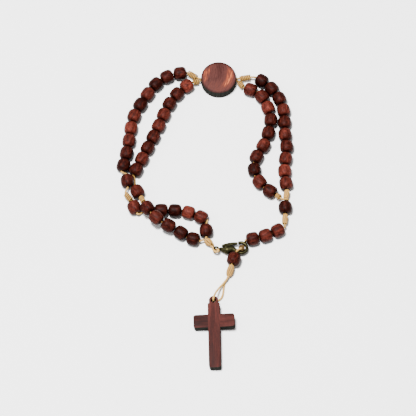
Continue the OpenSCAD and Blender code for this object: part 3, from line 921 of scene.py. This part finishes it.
def cast_copy(node, name, voxel, grown):
    """A CAD node with its edges tumbled soft and its faces moved out by grown; sizes in mm."""
    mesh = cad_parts[node].data.copy()
    bm = bmesh.new()
    bm.from_mesh(mesh)
    bmesh.ops.remove_doubles(bm, verts=bm.verts, dist=1e-7)
    bm.to_mesh(mesh)
    bm.free()
    casting = new_object(name + "_rough", mesh)
    grain = casting.modifiers.new("grain", "REMESH")
    grain.mode = "VOXEL"
    grain.voxel_size = voxel * mm
    tumbled = casting.modifiers.new("tumbled", "SMOOTH")
    tumbled.factor = 0.5
    tumbled.iterations = 7
    full = casting.modifiers.new("full", "DISPLACE")
    full.strength = grown * mm
    full.mid_level = 0.0
    return with_modifiers(casting, name, brass)


clasp_body = cast_copy("clasp_body", "cast_clasp_body", voxel=0.05, grown=0.05)
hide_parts("clasp_body")
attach(clasp_body, "bracelet")
clasp_lever = cast_copy("clasp_lever", "cast_clasp_lever", voxel=0.04, grown=0.01)
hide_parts("clasp_lever")
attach(clasp_lever, "lever")
lo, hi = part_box("clasp_pin")
rivet = round_bar("rivet", (hi[0] - lo[0]) / 2, hi[2] - lo[2], 48,
                  Matrix.Translation((Vector(lo) + Vector(hi)) / 2), rivet_edge, brass)
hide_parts("clasp_pin")
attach(rivet, "bracelet")


# Wooden cross

# Cut from thin red-brown wood: one upright with its grain running straight through, and
# arms with the grain along them. The walls are scorched dark. A hole in its head takes
# the pendant cord, and it lies a little askew, propped by the cord under it.

cross_w, cross_drop, upright_w = 14.7 * mm, 25.5 * mm, 4.3 * mm
arm_h, arm_drop, cross_t = 4.9 * mm, 7.8 * mm, 3.1 * mm
head_r, cross_bore_r, shoulder = 1.65 * mm, 0.95 * mm, 0.8 * mm
cross_corner = 0.85 * mm
cross_edge = 0.16 * mm
cross_x, cross_y, off_table = 3.3 * mm, -35.05 * mm, 0.05 * mm
cross_turn, cross_roll, cross_pitch = math.radians(1), math.radians(-5), math.radians(2)
cross_lift = cross_drop * math.sin(cross_pitch) - upright_w / 2 * math.sin(cross_roll) + off_table
cross_place = Matrix.Translation((cross_x, cross_y, cross_lift)) \
    @ Matrix.Rotation(cross_turn, 4, "Z") @ Matrix.Rotation(cross_roll, 4, "Y") \
    @ Matrix.Rotation(cross_pitch, 4, "X")


def cross_wood():
    wood = SandedWood("scorched_cross_wood")
    # On the arms the grain runs across, so their place is turned a quarter
    upright_half = upright_w / 2 / mm
    on_arms = wood.maths("GREATER_THAN", wood.maths("ABSOLUTE", wood.x), upright_half)
    quarter_turned = wood.joined(wood.y, wood.x, wood.z)
    chosen = wood.add("ShaderNodeMix", data_type="VECTOR")
    for socket, value in zip((chosen.inputs[0], chosen.inputs[4], chosen.inputs[5]),
                             (on_arms, wood.place, quarter_turned)):
        wood.feed(socket, value)
    wood.grow(chosen.outputs[1], (0.5, 0.05, 0.4))
    shade = wood.plus(wood.plus(0.42, wood.swing(wood.broad, 0.7)), wood.swing(wood.lines, 1.0))
    # The wood gets a little darker all the way from its head to its foot, and the left arm
    # is darker too
    even_at = -8.0
    shade = wood.plus(shade, wood.times(wood.minus(wood.y, even_at), 0.008))
    left_arm = wood.maths("LESS_THAN", wood.x, -upright_half)
    wood.sand_and_scorch(wood.minus(shade, wood.times(left_arm, 0.2)), [
        (0.0, (0.01, 0.0036, 0.0032)), (0.3, (0.026, 0.0068, 0.0056)),
        (0.55, (0.046, 0.0108, 0.0086)), (1.0, (0.115, 0.03, 0.023))])
    return wood.material


def board(name, middle_y, wide, long, corner=0):
    """A flat piece as thick as the cross, with its upright corners rounded where asked."""
    bm = bmesh.new()
    bmesh.ops.create_cube(bm, size=1, matrix=Matrix.Translation((0, middle_y, cross_t / 2))
                          @ Matrix.Diagonal((wide, long, cross_t, 1)))
    if corner:
        corners = [e for e in bm.edges if abs(e.verts[0].co.z - e.verts[1].co.z) > cross_t / 2]
        bmesh.ops.bevel(bm, geom=corners, offset=corner, offset_type="OFFSET", segments=5,
                        profile=0.5, affect="EDGES", material=-1)
    return from_bmesh(name, bm)


head_place = Matrix.Translation((0, 0, cross_t / 2))
upright = board("upright", -(shoulder + cross_drop) / 2, upright_w, cross_drop - shoulder, cross_corner)
cut_from(upright, board("arms", -arm_drop, cross_w, arm_h, cross_corner), "UNION")
cut_from(upright, round_bar("head", head_r, cross_t, 64, head_place), "UNION")
cut_from(upright, board("neck", -shoulder, 2 * head_r, 2 * shoulder), "UNION")
cut_from(upright, round_bar("hole", cross_bore_r, 3 * cross_t, 48, head_place))
soft = upright.modifiers.new("soft_edges", "BEVEL")
soft.width = cross_edge
soft.segments = 3
soft.limit_method = "ANGLE"
soft.angle_limit = math.radians(50)
cross = with_modifiers(upright, "sanded_cross", cross_wood())
keep_grain(cross, Matrix.Identity(4))
cross.data.transform(cross_place)
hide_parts("wooden_cross")
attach(cross, "bracelet")
